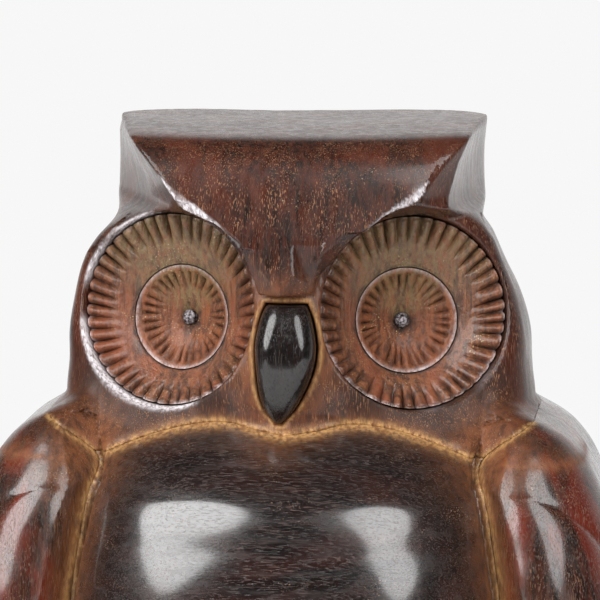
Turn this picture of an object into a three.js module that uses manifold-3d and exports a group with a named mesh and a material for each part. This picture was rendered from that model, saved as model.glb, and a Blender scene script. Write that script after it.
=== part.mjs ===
// A carved wooden owl figurine: flat-crowned head, fluted dish eyes, domed breast, folded wings.
// Millimetres, +Z up, the face looks along -Y. The origin is on the floor, under the middle of the object.
import * as THREE from "three";
import { mergeVertices } from "three/addons/utils/BufferGeometryUtils.js";
import Module from "manifold-3d";

// ---- Driving dimensions -------------------------------------------------------------------
const HEIGHT = 165; // crown corners above the floor
const BASE_Z = 0; // flat underside, on the floor
const NECK_Z = 115; // neckline at the sides and back
const WING_TOP_Z = 121; // wings reach up to here beside the neck
const GAP = 0.3; // glue line between touching pieces
const LEAN = 0.21; // how far the brow comes forward for each millimetre down
const BROW_TOP_Y = -26.5; // brow face at the crown
const BROW_BOW = 0.0015; // how fast the brow face falls back from its middle
const BROW_TILT = 0.045; // the brow's left arm is cut lower than its right
const TWIST = 4.5; // degrees by which crown and brow turn towards +X
const CROWN_SAG = 0.5; // hollow across the crown
const BROW_FOOT_Z = 137.2; // bottom of the brow's V
const BREAST_SEAT_Y = -24; // flat back of the breast panel
const BREAST_FOOT_Z = 15; // lowest edge of the breast panel
const FRONT_SEAM_Y = -38; // where the wing seam meets the front surface
const BACK_SEAM_Y = 36;
const WING_FOOT_Z = 8; // lower edge of the wings

const EYE = { x: 21.9, y: -22, z: 133.4, out: 20, up: 8 }; // centre, and the way it faces in degrees
const EYE_RADIUS = 16.6;
const RIM_DROP = 1.2; // ring's outer edge below the face
const RING_DEPTH = 5; // drop of the fluted ring from rim to iris
const IRIS_RADIUS = 9.3;
const IRIS_SINK = 1.3; // the iris sits this far below the ring's centre
const IRIS_DEPTH = 3.7;
const SOCKET_DEPTH = 13.4;
const RING_FLUTES = 44;
const IRIS_FLUTES = 30;
const PIN_RADIUS = 1;

const BEAK_SEAT_Y = -29; // face of the head around the beak
const BEAK_ROOT = 9; // depth of the beak's socket
const BEAK_SWAY = 1.3; // the tip lies this far towards -X
const BEAK_TENON_RADIUS = 2.6;
const DOWEL_RADIUS = 3;
const TOE_RADIUS = 4.6;
const TOE_REACH = 14; // side toes; the middle one reaches further
const TOE_SPREAD = 6.8;
const TOE_TURN = 0.2; // radians between toes
const FOOT_X = 15;
const FOOT_SEAT_Y = -29; // flat back of the feet, let into the base
const FOOT_DOWEL_RADIUS = 2;

// Trunk stations: height, half width, breast depth, back depth, wing depth.
const TRUNK = [
  [0, 41, 34, 30, 26],
  [4, 44.5, 37.5, 33, 29],
  [20, 51.5, 42.5, 37, 33.5],
  [45, 57, 47, 39, 37.8],
  [70, 58.8, 48.6, 39, 39.6],
  [85, 58.2, 48.3, 38, 39.8],
  [95, 56.6, 46.8, 36.5, 38.2],
  [102.5, 54.4, 44.2, 34, 36],
  [108.7, 51, 37.6, 31.5, 32.2],
  [113, 46.8, 31, 29.5, 28.4],
  [118, 37, 24, 25, 21],
];
// Head stations: height, half width, front depth, back depth, where the widest part is.
const HEAD = [
  [104, 41, 27, 27, 0],
  [116.8, 41.9, 28.6, 28.5, 0],
  [123, 41.3, 29.6, 29, -1],
  [128.3, 40.8, 29.6, 28.6, -3],
  [135.5, 39.2, 28.8, 27.4, -7],
  [140.5, 37.4, 28, 27.4, -11],
  [144.8, 35.2, 27.6, 27.4, -14],
  [148.3, 33.1, 28.5, 27.6, -12],
  [151.5, 33.8, 31, 27.8, -6],
  [158.7, 33.8, 31, 28, -4],
  [165, 34.1, 30, 28, -2],
];
// Wing seam: height, half width at the front surface, half width at the back surface.
const SEAM = [
  [-10, 24, 9],
  [8, 28, 11],
  [28, 34.5, 15.5],
  [48, 38.4, 21.5],
  [68, 39.4, 27],
  [83.2, 38, 30],
  [95.3, 36, 32.5],
  [102.3, 34.4, 34.4],
  [107.5, 32.6, 36.4],
  [111.5, 37, 38.5],
  [115, 42.4, 42.4],
  [117, 45, 45],
  [121, 51, 51],
];
// Neckline over the breast: distance from the middle, height.
const NECKLINE = [
  [0, 112.7],
  [5.5, 113.5],
  [10.7, 114.5],
  [18, 113.7],
  [25, 111.7],
  [32.4, 108.7],
];
// Half of the brow's V: height, half width.
const BROW = [
  [BROW_FOOT_Z, 4.6],
  [139.6, 5.2],
  [146.3, 9.5],
  [150, 14.4],
  [152.4, 19.8],
  [158, 23.4],
  [HEIGHT, 29],
];
// Sides of the horns seen from above: height, then x and y where they leave the brow,
// at a bend, and where they end behind.
const TEMPLE_LEFT = [
  [149, 19, -29, 23.5, -19, 32, 2],
  [152.4, 19.8, -28.6, 23.5, -19, 33, 6],
  [158, 23.4, -27.6, 26.4, -18, 33.4, 8],
  [HEIGHT, 29, -25.6, 30, -17, 33.6, 10],
];
const TEMPLE_RIGHT = [
  [149, 19, -29, 25.4, -24.5, 31.6, -2],
  [152.4, 19.8, -28.6, 25.6, -23.5, 32.2, 4],
  [158, 23.4, -27.6, 27.2, -22.5, 32.5, 8],
  [HEIGHT, 29, -25.6, 30.4, -20, 33.1, 10],
];
// Beak stations: height, half width, how far the front stands out from the seat.
const BEAK = [
  [114.8, 0.4, 0.6],
  [116.2, 1.8, 1.4],
  [117.6, 2.8, 2.0],
  [119.6, 3.7, 2.7],
  [122.2, 4.5, 3.4],
  [124.8, 5.0, 3.8],
  [128.1, 5.25, 3.8],
  [130.8, 4.9, 3.3],
  [133.3, 4.3, 2.3],
  [135.3, 3.5, 0.8],
];

// ---- Curves through the stations ----------------------------------------------------------
function clamp(value, low, high) {
  return Math.min(high, Math.max(low, value));
}

// Smooth value of one column of a station table.
function along(stations, at, column = 1) {
  const last = stations.length - 1;
  const t = clamp(at, stations[0][0], stations[last][0]);
  let i = 0;
  while (i < last - 1 && stations[i + 1][0] < t) i++;
  const slope = (k) => {
    const a = stations[Math.max(k - 1, 0)];
    const b = stations[Math.min(k + 1, last)];
    return (b[column] - a[column]) / (b[0] - a[0]);
  };
  const span = stations[i + 1][0] - stations[i][0];
  const u = (t - stations[i][0]) / span;
  const [u2, u3] = [u * u, u * u * u];
  return (
    (2 * u3 - 3 * u2 + 1) * stations[i][column] +
    (u3 - 2 * u2 + u) * span * slope(i) +
    (3 * u2 - 2 * u3) * stations[i + 1][column] +
    (u3 - u2) * span * slope(i + 1)
  );
}

// Straight-line value of one column of a station table.
function between(stations, at, column) {
  const last = stations.length - 1;
  const t = clamp(at, stations[0][0], stations[last][0]);
  let i = 0;
  while (i < last - 1 && stations[i + 1][0] < t) i++;
  const [low, high] = [stations[i], stations[i + 1]];
  return low[column] + ((high[column] - low[column]) * (t - low[0])) / (high[0] - low[0]);
}

// 0 below low, 1 above high, smooth between. Low may be above high.
function ease(value, low, high) {
  const t = clamp((value - low) / (high - low), 0, 1);
  return t * t * (3 - 2 * t);
}

// Angle by which the carving is turned at a height.
function twistAt(z) {
  return THREE.MathUtils.degToRad(TWIST) * ease(z, 139, 149);
}

// Position in the turned crown's own directions.
function turned(x, y, z) {
  const [c, s] = [Math.cos(twistAt(z)), Math.sin(twistAt(z))];
  return [x * c + y * s, y * c - x * s];
}

// Half width of the wing seam at a depth and height.
function seam(y, z) {
  const share = clamp((y - FRONT_SEAM_Y) / (BACK_SEAM_Y - FRONT_SEAM_Y), 0, 1);
  return along(SEAM, z, 1) * (1 - share) + along(SEAM, z, 2) * share;
}

// ---- The carved form: negative inside the wood --------------------------------------------
function superellipse(x, y, halfWidth, halfDepth, power) {
  const r = (Math.abs(x) / halfWidth) ** power + (Math.abs(y) / halfDepth) ** power;
  return (r ** (1 / power) - 1) * Math.min(halfWidth, halfDepth);
}

function smoothMax(a, b, k) {
  const h = Math.max(k - Math.abs(a - b), 0) / k;
  return Math.max(a, b) + (h * h * k) / 4;
}

// The breast's broad dome with a rounder lobe for each wing, and one round back.
// Each lobe starts at the dome's surface, rising away from the seam.
function trunkField(x, y, z) {
  const width = along(TRUNK, z);
  if (y >= 0) return Math.max(superellipse(x, y, width, along(TRUNK, z, 3), 2.3), z - 117.5);
  const ax = Math.abs(x);
  const line = along(SEAM, Math.min(z, 104));
  const dome = Math.max(superellipse(x, y, line * 1.4, along(TRUNK, z, 2), 2.2), ax - line);
  const crest = Math.min(line + 6.2, width - 3);
  const radius = width - crest;
  const lobeY = Math.min(y + along(TRUNK, z, 4) - radius, 0);
  const inner = ax < crest && lobeY >= 0;
  const round = inner ? ax - width : Math.hypot(ax - crest, lobeY) - radius;
  const seamY = -0.745 * along(TRUNK, z, 2);
  const lobe = Math.max(round, (line - ax - y + seamY) * 0.7);
  return Math.max(Math.min(dome, lobe), z - 117.5);
}

// Distance in front of the flat that carries the eye on this side.
function eyeFlat(x, y, z) {
  const n = eyeNormal(1);
  return (Math.abs(x) - EYE.x) * n.x + (y - EYE.y) * n.y + (z - EYE.z) * n.z;
}

// The flats from the brow's edge back along the side of the horn, fading out above the eye.
function templeFlat(x, y, z) {
  const table = x < 0 ? TEMPLE_LEFT : TEMPLE_RIGHT;
  const [, x0, y0, x1, y1, x2, y2] = table[0].map((_, k) => between(table, z - BROW_TILT * x, k));
  const side = (ax, ay, bx, by) =>
    ((Math.abs(x) - ax) * (by - ay) - (y - ay) * (bx - ax)) / Math.hypot(bx - ax, by - ay);
  return Math.max(side(x0, y0, x1, y1), side(x1, y1, x2, y2)) - 0.3 * Math.max(0, 152.5 - z) ** 2;
}

// The brow's face: bowed across and leaning forward as it comes down.
function browFace(x, y, z) {
  return BROW_TOP_Y + BROW_BOW * x ** 2 - LEAN * (HEIGHT - z) - y;
}

function headField(x, y, z) {
  const [tx, ty] = turned(x, y, z);
  const widest = along(HEAD, z, 4);
  const front = ty < widest;
  const depth = front ? along(HEAD, z, 2) + widest : along(HEAD, z, 3) - widest;
  const power = front ? 3.3 : 2.5 + 2 * ease(z, 138, 152);
  const offset = 0.45 * ease(z, 139, 149) + 0.7 * Math.exp(-(((z - 142) / 6) ** 2));
  const shell = superellipse(tx + offset, ty - widest, along(HEAD, z), depth, power);
  const flat = eyeFlat(x, y, z) - 2.5 * Math.max(0, z - 149.5);
  const form = smoothMax(smoothMax(shell, flat, 3.5), browFace(tx, ty, z) + 0.15, 0.5);
  return smoothMax(form, templeFlat(tx, ty, z), 0.7 + 3 * ease(z, 152, 147));
}

// Grooves along the wing seams and the neckline.
function grooveDepth(x, y, z) {
  const side = Math.abs(x) - seam(y, z);
  const wing = 2.2 * Math.exp(-Math.abs(side) / (side < 0 ? 4.5 : 3.4)) * ease(z, 117, 107);
  const front = y < -8;
  const line = front ? along(NECKLINE, Math.abs(x)) : NECK_Z;
  const depth = front ? 1.6 * ease(Math.abs(x), 35, 29) : ease(y, -6, 6);
  return Math.max(wing, depth * Math.exp(-Math.abs(z - line) / 2.2));
}

function formField(x, y, z) {
  const form = -smoothMax(-trunkField(x, y, z), -headField(x, y, z), 3.2);
  return form + grooveDepth(x, y, z);
}

// ---- Mesh helpers -------------------------------------------------------------------------
const wasm = await Module();
wasm.setup();

function solid(geometry) {
  const bare = geometry.index ? geometry.toNonIndexed() : geometry.clone();
  bare.deleteAttribute("normal");
  bare.deleteAttribute("uv");
  const merged = mergeVertices(bare, 1e-4);
  const made = new wasm.Manifold(
    new wasm.Mesh({
      numProp: 3,
      vertProperties: merged.attributes.position.array,
      triVerts: new Uint32Array(merged.index.array),
    }),
  );
  if (made.volume() < 0) throw new Error("a form is inside out");
  return made;
}

// The largest body of a cut piece; chips left standing at its edges are swept away.
function withoutChips(piece) {
  return piece.decompose().sort((a, b) => b.volume() - a.volume())[0];
}

function geometryOf(manifold) {
  const { vertProperties, triVerts, numProp, numVert } = manifold.getMesh();
  const positions = new Float32Array(numVert * 3);
  for (let i = 0; i < numVert; i++) {
    positions.set(vertProperties.subarray(i * numProp, i * numProp + 3), i * 3);
  }
  const geometry = new THREE.BufferGeometry();
  geometry.setAttribute("position", new THREE.BufferAttribute(positions, 3));
  geometry.setIndex(new THREE.BufferAttribute(triVerts, 1));
  geometry.computeVertexNormals();
  return geometry;
}

// Skin over a stack of rings of equal count. Closed ends are fans about each end ring's middle;
// with closed = "round" the last ring joins the first one, as on a tyre.
function skin(rings, closed = "ends") {
  const count = rings[0].length;
  const points = rings.flat();
  const faces = [];
  const bands = closed === "round" ? rings.length : rings.length - 1;
  for (let r = 0; r < bands; r++) {
    const next = (r + 1) % rings.length;
    for (let i = 0; i < count; i++) {
      const j = (i + 1) % count;
      const [a, b] = [r * count + i, r * count + j];
      const [c, d] = [next * count + i, next * count + j];
      faces.push(a, b, d, a, d, c);
    }
  }
  if (closed === "ends") {
    const last = (rings.length - 1) * count;
    for (const [start, ring, flip] of [[0, rings[0], true], [last, rings.at(-1), false]]) {
      const middle = ring.reduce((sum, p) => sum.add(p), new THREE.Vector3());
      points.push(middle.divideScalar(count));
      const centre = points.length - 1;
      for (let i = 0; i < count; i++) {
        const j = (i + 1) % count;
        if (flip) faces.push(centre, start + j, start + i);
        else faces.push(centre, start + i, start + j);
      }
    }
  }
  const geometry = new THREE.BufferGeometry().setFromPoints(points);
  geometry.setIndex(faces);
  return geometry;
}

// Prism along Y over an outline given in x and z.
function prismAlongY(outline, fromY, toY) {
  const shape = new THREE.Shape(outline.map(([x, z]) => new THREE.Vector2(x, z)));
  const geometry = new THREE.ExtrudeGeometry(shape, { depth: toY - fromY, bevelEnabled: false });
  return solid(geometry.rotateX(Math.PI / 2).translate(0, toY, 0));
}

function rodAlong(axis, radius, from, to, segments = 20) {
  const geometry = new THREE.CylinderGeometry(radius, radius, to - from, segments);
  geometry.translate(0, (from + to) / 2, 0);
  if (axis === "x") geometry.rotateZ(-Math.PI / 2);
  return geometry;
}

// ---- The whole form as one skin, with ring points set along the wing seams -----------------
const LEVELS = [
  BASE_Z, 2.4, 6, 12, 20, 29, 38, 47, 56, 65, 74, 82, 89, 94.5, 99, 102.5, 105.5, 107.5, 109,
  110.5, 112, 113.5, 115, 117, 119, 121, 124, 128, 132, 136, 139.5, 142.5, 145, 147.5, 149.5,
  151.5, 153.5, 156, 159, 162, HEIGHT,
];
const FRONT_STEPS = [0, 0.2, 0.4, 0.58, 0.74, 0.87, 0.95, 1];
const WING_STEPS = [0.05, 0.12, 0.22, 0.34, 0.47, 0.6, 0.73, 0.85, 0.94, 1];
const BACK_STEPS = [0.1, 0.28, 0.5, 0.75, 1];

// Radius of the form's surface along a direction, angle 0 facing front.
function surfaceRadius(angle, z) {
  let [inside, outside] = [1, 90];
  for (let i = 0; i < 40; i++) {
    const r = (inside + outside) / 2;
    if (formField(r * Math.sin(angle), -r * Math.cos(angle), z) < 0) inside = r;
    else outside = r;
  }
  return inside;
}

// Angle at which the surface crosses the wing seam, searched between two angles.
function seamAngle(z, low, high) {
  const level = Math.min(z, 107.5);
  for (let i = 0; i < 30; i++) {
    const angle = (low + high) / 2;
    const r = surfaceRadius(angle, level);
    const [x, y] = [r * Math.sin(angle), -r * Math.cos(angle)];
    const wingSide = x > seam(y, level);
    if (wingSide === (low < Math.PI / 2 && high < Math.PI * 0.6)) high = angle;
    else low = angle;
  }
  return (low + high) / 2;
}

function formRing(z) {
  const front = seamAngle(z, 0.1, 1.55);
  const back = seamAngle(z, 1.7, 3.1);
  const half = [
    ...FRONT_STEPS.map((s) => front * s),
    ...WING_STEPS.map((s) => front + (back - front) * s),
    ...BACK_STEPS.map((s) => back + (Math.PI - back) * s),
  ];
  const angles = [...half, ...half.slice(1, -1).reverse().map((a) => 2 * Math.PI - a)];
  return angles.map((a) => {
    const r = surfaceRadius(a, z);
    return new THREE.Vector3(r * Math.sin(a), -r * Math.cos(a), z);
  });
}

// ---- Cutters ------------------------------------------------------------------------------
// Everything outside the wing seam on one side, drawn back by a margin.
function wingRegion(side, margin) {
  const heights = LEVELS.filter((z) => z > WING_FOOT_Z && z < WING_TOP_Z);
  const levels = [WING_FOOT_Z - margin, ...heights, WING_TOP_Z + margin];
  const section = (y) => {
    const edge = levels.map((z) => new THREE.Vector3(side * (seam(y, z) - margin), y, z));
    const outer = [...levels].reverse().map((z) => new THREE.Vector3(side * 90, y, z));
    return [...edge, ...outer];
  };
  const rings = [-80, FRONT_SEAM_Y, -1, BACK_SEAM_Y, 80].map(section);
  if (side < 0) rings.reverse();
  return solid(skin(rings));
}

// Prism over the breast, from the neckline to the panel's foot, drawn in by a margin.
function breastRegion(margin) {
  const line = NECKLINE.map(([x, z]) => [x, z - margin]);
  const top = [[-80, line.at(-1)[1]], ...line.slice(1).reverse().map(([x, z]) => [-x, z])];
  const right = [...line, [80, line.at(-1)[1]]];
  const foot = [];
  for (let i = 8; i >= -8; i--) {
    const x = (i / 8) * 36;
    foot.push([x, BREAST_FOOT_Z + margin + 12 * (x / 36) ** 2]);
  }
  const outline = [...top, ...right, [80, 30], ...foot, [-80, 30]];
  return prismAlongY(outline.reverse(), -90, BREAST_SEAT_Y - margin);
}

// Turns a geometry's points with the crown.
function twist(geometry) {
  const place = geometry.attributes.position;
  for (let i = 0; i < place.count; i++) {
    const [x, y, z] = [place.getX(i), place.getY(i), place.getZ(i)];
    const [c, s] = [Math.cos(twistAt(z)), Math.sin(twistAt(z))];
    place.setXY(i, x * c - y * s, y * c + x * s);
  }
  return geometry;
}

// The V-shaped brow: a V prism behind a bowed face that leans forward as it comes down.
function browSolid() {
  const levels = [];
  for (let i = 0; i <= 14; i++) levels.push(BROW_FOOT_Z + ((HEIGHT - BROW_FOOT_Z) * i) / 14);
  const edge = (side) =>
    levels.map((z) => {
      const x = side * between(BROW, z, 1);
      return new THREE.Vector2(x, Math.min(z + BROW_TILT * x, HEIGHT));
    });
  const outline = [...edge(1), ...edge(-1).reverse()];
  const wedge = new THREE.ExtrudeGeometry(new THREE.Shape(outline), { depth: 54, bevelEnabled: false });
  wedge.rotateX(Math.PI / 2).translate(0, -6, 0);
  const steps = 16;
  const points = [];
  for (let i = 0; i <= steps; i++) {
    const x = -36 + (72 * i) / steps;
    points.push(new THREE.Vector2(x, BROW_TOP_Y + BROW_BOW * x ** 2));
  }
  const bow = new THREE.Shape([...points, new THREE.Vector2(36, 2), new THREE.Vector2(-36, 2)]);
  const slab = new THREE.ExtrudeGeometry(bow, { depth: HEIGHT - 130, steps: 14, bevelEnabled: false });
  const back = -LEAN * (HEIGHT - 130);
  const shear = new THREE.Matrix4().set(1, 0, 0, 0, 0, 1, LEAN, back, 0, 0, 1, 130, 0, 0, 0, 1);
  return solid(twist(wedge)).intersect(solid(twist(slab.applyMatrix4(shear))));
}

// The shallow dish across the crown.
function crownHollow() {
  const arc = [];
  for (let i = 0; i <= 12; i++) {
    const x = -36 + (72 * i) / 12;
    arc.push([x, HEIGHT - CROWN_SAG * (1 - (x / 36) ** 2)]);
  }
  return prismAlongY([...arc, [60, HEIGHT], [60, HEIGHT + 9], [-60, HEIGHT + 9], [-60, HEIGHT]], -60, 60);
}

// ---- Eyes ---------------------------------------------------------------------------------
function eyeNormal(side) {
  const [out, up] = [THREE.MathUtils.degToRad(EYE.out), THREE.MathUtils.degToRad(EYE.up)];
  const flat = Math.cos(up);
  return new THREE.Vector3(side * Math.sin(out) * flat, -Math.cos(out) * flat, Math.sin(up));
}

// Places geometry drawn with +Z out of the eye and +Y up the face.
function eyeFrame(side) {
  const normal = eyeNormal(side);
  const right = new THREE.Vector3(0, 0, 1).cross(normal).normalize();
  const up = normal.clone().cross(right);
  const frame = new THREE.Matrix4().makeBasis(right, up, normal);
  return frame.setPosition(side * EYE.x, EYE.y, EYE.z);
}

function eyeRod(side, radius, from, to, sink) {
  const geometry = rodAlong("y", radius, from, to, 48).rotateX(Math.PI / 2).translate(0, -sink, 0);
  return solid(geometry.applyMatrix4(eyeFrame(side)));
}

// A fluted dish with a round hole, drawn with +Z out. V notches run in from the rim.
function flutedDish({ outer, hole, sink, rimZ, holeZ, backZ, flutes, notch, notchEnds }) {
  const count = flutes * 2;
  const ring = (share, depth, notched) => {
    const points = [];
    for (let i = 0; i < count; i++) {
      const a = (i / count) * 2 * Math.PI;
      const r = outer + (hole - outer) * share;
      const cut = notched && i % 2 ? notch * notched : 0;
      points.push(new THREE.Vector3(r * Math.cos(a), r * Math.sin(a) - sink * share, depth - cut));
    }
    return points;
  };
  const rows = [[0, 0], [notchEnds[0], 1], [notchEnds[1], 0], [1, 0]];
  const face = rows.map(([s, cut]) => ring(s, rimZ + (holeZ - rimZ) * s, cut));
  return skin([ring(0, backZ, 0), ...face, ring(1, backZ, 0)], "round");
}

function eyeRingGeometry() {
  return flutedDish({
    outer: EYE_RADIUS,
    hole: IRIS_RADIUS + 0.1,
    sink: IRIS_SINK,
    rimZ: -RIM_DROP,
    holeZ: -RIM_DROP - RING_DEPTH,
    backZ: -SOCKET_DEPTH + GAP,
    flutes: RING_FLUTES,
    notch: 1.1,
    notchEnds: [0.06, 0.72],
  });
}

function irisGeometry() {
  const rimZ = -RIM_DROP - RING_DEPTH;
  return flutedDish({
    outer: IRIS_RADIUS - 0.2,
    hole: PIN_RADIUS + 0.2,
    sink: 0,
    rimZ,
    holeZ: rimZ - IRIS_DEPTH,
    backZ: -SOCKET_DEPTH + GAP,
    flutes: IRIS_FLUTES,
    notch: 0.7,
    notchEnds: [0.2, 0.66],
  }).translate(0, -IRIS_SINK, 0);
}

// A round-headed brad, point inwards.
function pinGeometry() {
  const headZ = -RIM_DROP - RING_DEPTH - IRIS_DEPTH;
  const tipZ = -SOCKET_DEPTH - 6;
  const profile = [
    [0, tipZ],
    [0.9, tipZ + 2],
    [0.9, headZ + 0.3],
    [1.4, headZ + 0.3],
    [1.25, headZ + 0.9],
    [0.7, headZ + 1.3],
    [0, headZ + 1.4],
  ];
  const points = profile.map(([r, z]) => new THREE.Vector2(r, z));
  return new THREE.LatheGeometry(points, 16).rotateX(Math.PI / 2).translate(0, -IRIS_SINK, 0);
}

// ---- Beak ---------------------------------------------------------------------------------
// Sideways shift of the beak's middle at a height.
function beakSway(z) {
  return -BEAK_SWAY * ease(z, 127, 114);
}

// A flat-fronted wedge with rounded edges and a round tenon behind.
function beakSolid(margin) {
  const rings = BEAK.map(([z, half, front], k) => {
    const last = k === BEAK.length - 1;
    const level = z + (last ? margin : 0) - (k === 0 ? margin : 0);
    const wide = half + margin;
    const ahead = BEAK_SEAT_Y - front - margin;
    const turn = Math.min(wide * 0.7, 3.2);
    const behind = BEAK_SEAT_Y + BEAK_ROOT + margin;
    const corner = (side) => {
      const arc = [];
      for (let i = 0; i <= 5; i++) {
        const a = (i / 5) * (Math.PI / 2);
        arc.push([side * (wide - turn + turn * Math.cos(a)), ahead + turn - turn * Math.sin(a)]);
      }
      return arc;
    };
    const outline = [[-wide, behind], ...corner(-1), ...corner(1).reverse(), [wide, behind]];
    return outline.map(([x, y]) => new THREE.Vector3(x + beakSway(z), y, level));
  });
  const [low, high] = [BEAK[0][0], BEAK.at(-1)[0]];
  const root = BEAK_SEAT_Y + BEAK_ROOT;
  const tenon = rodAlong("y", BEAK_TENON_RADIUS + margin, root - 2, root + 5 + margin);
  return solid(skin(rings)).add(solid(tenon.translate(0, 0, (low + high) / 2)));
}

// ---- Feet ---------------------------------------------------------------------------------
// Three toes that taper to a claw, flat underneath and cut square behind where they sit in the base.
function footSolid(side, margin) {
  let foot = null;
  for (const toe of [-1, 0, 1]) {
    const reach = TOE_REACH + (toe === 0 ? 3 : 0);
    const profile = [
      [0, -TOE_RADIUS - margin],
      [TOE_RADIUS * 0.87 + margin, -TOE_RADIUS * 0.5],
      [TOE_RADIUS + margin, reach * 0.1],
      [TOE_RADIUS + margin, reach * 0.34],
      [4.1 + margin, reach * 0.5],
      [4.3 + margin, reach * 0.65],
      [3.1 + margin, reach * 0.83],
      [1.9 + margin, reach * 0.95],
      [0.8 + margin, reach + 0.8],
      [0, reach + 1.1 + margin],
    ];
    const shape = new THREE.LatheGeometry(profile.map(([r, t]) => new THREE.Vector2(r, -t)).reverse(), 14);
    shape.scale(1, 1, 1.22).rotateZ(toe * TOE_TURN);
    shape.translate(side * FOOT_X + toe * TOE_SPREAD, FOOT_SEAT_Y + 4, BASE_Z + TOE_RADIUS * 0.55);
    foot = foot ? foot.add(solid(shape)) : solid(shape);
  }
  return foot.trimByPlane([0, 0, 1], BASE_Z - 3 * margin).trimByPlane([0, -1, 0], -FOOT_SEAT_Y - margin);
}

// ---- Materials ----------------------------------------------------------------------------
const MATERIALS = {
  darkWood: new THREE.MeshStandardMaterial({ color: 0x4a2418, roughness: 0.32, metalness: 0 }),
  breastWood: new THREE.MeshStandardMaterial({ color: 0x341a14, roughness: 0.22, metalness: 0 }),
  rawWood: new THREE.MeshStandardMaterial({ color: 0x8a4a26, roughness: 0.5, metalness: 0 }),
  blackWood: new THREE.MeshStandardMaterial({ color: 0x1d1210, roughness: 0.14, metalness: 0 }),
  dowelWood: new THREE.MeshStandardMaterial({ color: 0xb88a5a, roughness: 0.7, metalness: 0 }),
  steel: new THREE.MeshStandardMaterial({ color: 0x6e6a68, roughness: 0.45, metalness: 1 }),
};

// ---- Assembly -----------------------------------------------------------------------------
const owl = new THREE.Group();
owl.name = "owl_figurine";

function addPiece(name, geometry, material, frame) {
  const mesh = new THREE.Mesh(geometry, MATERIALS[material]);
  mesh.name = name;
  if (frame) mesh.applyMatrix4(frame);
  owl.add(mesh);
  return mesh;
}

const SIDES = [["left", -1], ["right", 1]];
const WING_DOWELS = [["upper", -4, 88], ["lower", 2, 46]]; // name, y, z
const BREAST_DOWELS = [["upper", 90], ["lower", 44]]; // name, z
const wholeForm = solid(skin(LEVELS.map(formRing)));
const wingDowelHoles = [];

let block = wholeForm.add(browSolid()).subtract(crownHollow());
block = block.subtract(breastRegion(0));
let breast = wholeForm.intersect(breastRegion(GAP));

for (const [sideName, side] of SIDES) {
  let wing = wholeForm.intersect(wingRegion(side, -GAP));
  block = block.subtract(wingRegion(side, 0));
  breast = breast.subtract(wingRegion(side, 0));
  for (const [level, y, z] of WING_DOWELS) {
    const [from, to] = [seam(y, z) - 13, seam(y, z) + 12];
    const rod = (radius, extra) => {
      const ends = [side * (from - extra), side * (to + extra)].sort((a, b) => a - b);
      return rodAlong("x", radius, ...ends).translate(0, y, z);
    };
    const hole = solid(rod(DOWEL_RADIUS + GAP, GAP));
    wing = wing.subtract(hole);
    block = block.subtract(hole);
    addPiece(`wing_dowel_${sideName}_${level}`, rod(DOWEL_RADIUS, 0), "dowelWood");
  }
  addPiece(`wing_${sideName}`, geometryOf(withoutChips(wing)), "darkWood");
}

for (const [level, z] of BREAST_DOWELS) {
  const rod = (radius, extra) =>
    rodAlong("y", radius, BREAST_SEAT_Y - 11 - extra, BREAST_SEAT_Y + 13 + extra).translate(0, 0, z);
  const hole = solid(rod(DOWEL_RADIUS + GAP, GAP));
  breast = breast.subtract(hole);
  block = block.subtract(hole);
  addPiece(`breast_dowel_${level}`, rod(DOWEL_RADIUS, 0), "dowelWood");
}
addPiece("breast_panel", geometryOf(withoutChips(breast)), "breastWood");

for (const [sideName, side] of SIDES) {
  block = block.subtract(eyeRod(side, EYE_RADIUS + GAP, -SOCKET_DEPTH, 12, 0));
  block = block.subtract(eyeRod(side, PIN_RADIUS + 0.2, -SOCKET_DEPTH - 7, -1, IRIS_SINK));
  addPiece(`eye_ring_${sideName}`, eyeRingGeometry(), "rawWood", eyeFrame(side));
  addPiece(`iris_${sideName}`, irisGeometry(), "rawWood", eyeFrame(side));
  addPiece(`pupil_pin_${sideName}`, pinGeometry(), "steel", eyeFrame(side));
}

block = block.subtract(beakSolid(GAP));
let beak = beakSolid(0);
for (const [, side] of SIDES) beak = beak.subtract(eyeRod(side, EYE_RADIUS + GAP, -SOCKET_DEPTH, 12, 0));
addPiece("beak", geometryOf(beak), "blackWood");

for (const [sideName, side] of SIDES) {
  const rod = (radius, extra) => {
    const [from, to] = [FOOT_SEAT_Y - 9 - extra, FOOT_SEAT_Y + 9 + extra];
    return rodAlong("y", radius, from, to).translate(side * FOOT_X, 0, BASE_Z + 3.6);
  };
  const hole = solid(rod(FOOT_DOWEL_RADIUS + GAP, GAP));
  block = block.subtract(footSolid(side, GAP)).subtract(hole);
  addPiece(`foot_${sideName}`, geometryOf(footSolid(side, 0).subtract(hole)), "blackWood");
  addPiece(`foot_dowel_${sideName}`, rod(FOOT_DOWEL_RADIUS, 0), "dowelWood");
}

addPiece("body_block", geometryOf(withoutChips(block)), "darkWood");

// Bring the middle of the whole object over the origin.
const extent = new THREE.Box3().setFromObject(owl);
owl.position.y = -(extent.min.y + extent.max.y) / 2;

export default owl;
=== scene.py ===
"""A carved hardwood owl, lacquered dark, with fluted dish eyes.

The carved forms are worked out in millimetres, in the carving's own frame, as signed fields that are negative
inside the wood. They are turned into meshes in the CAD frame by dual contouring.
"""
import math

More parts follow.
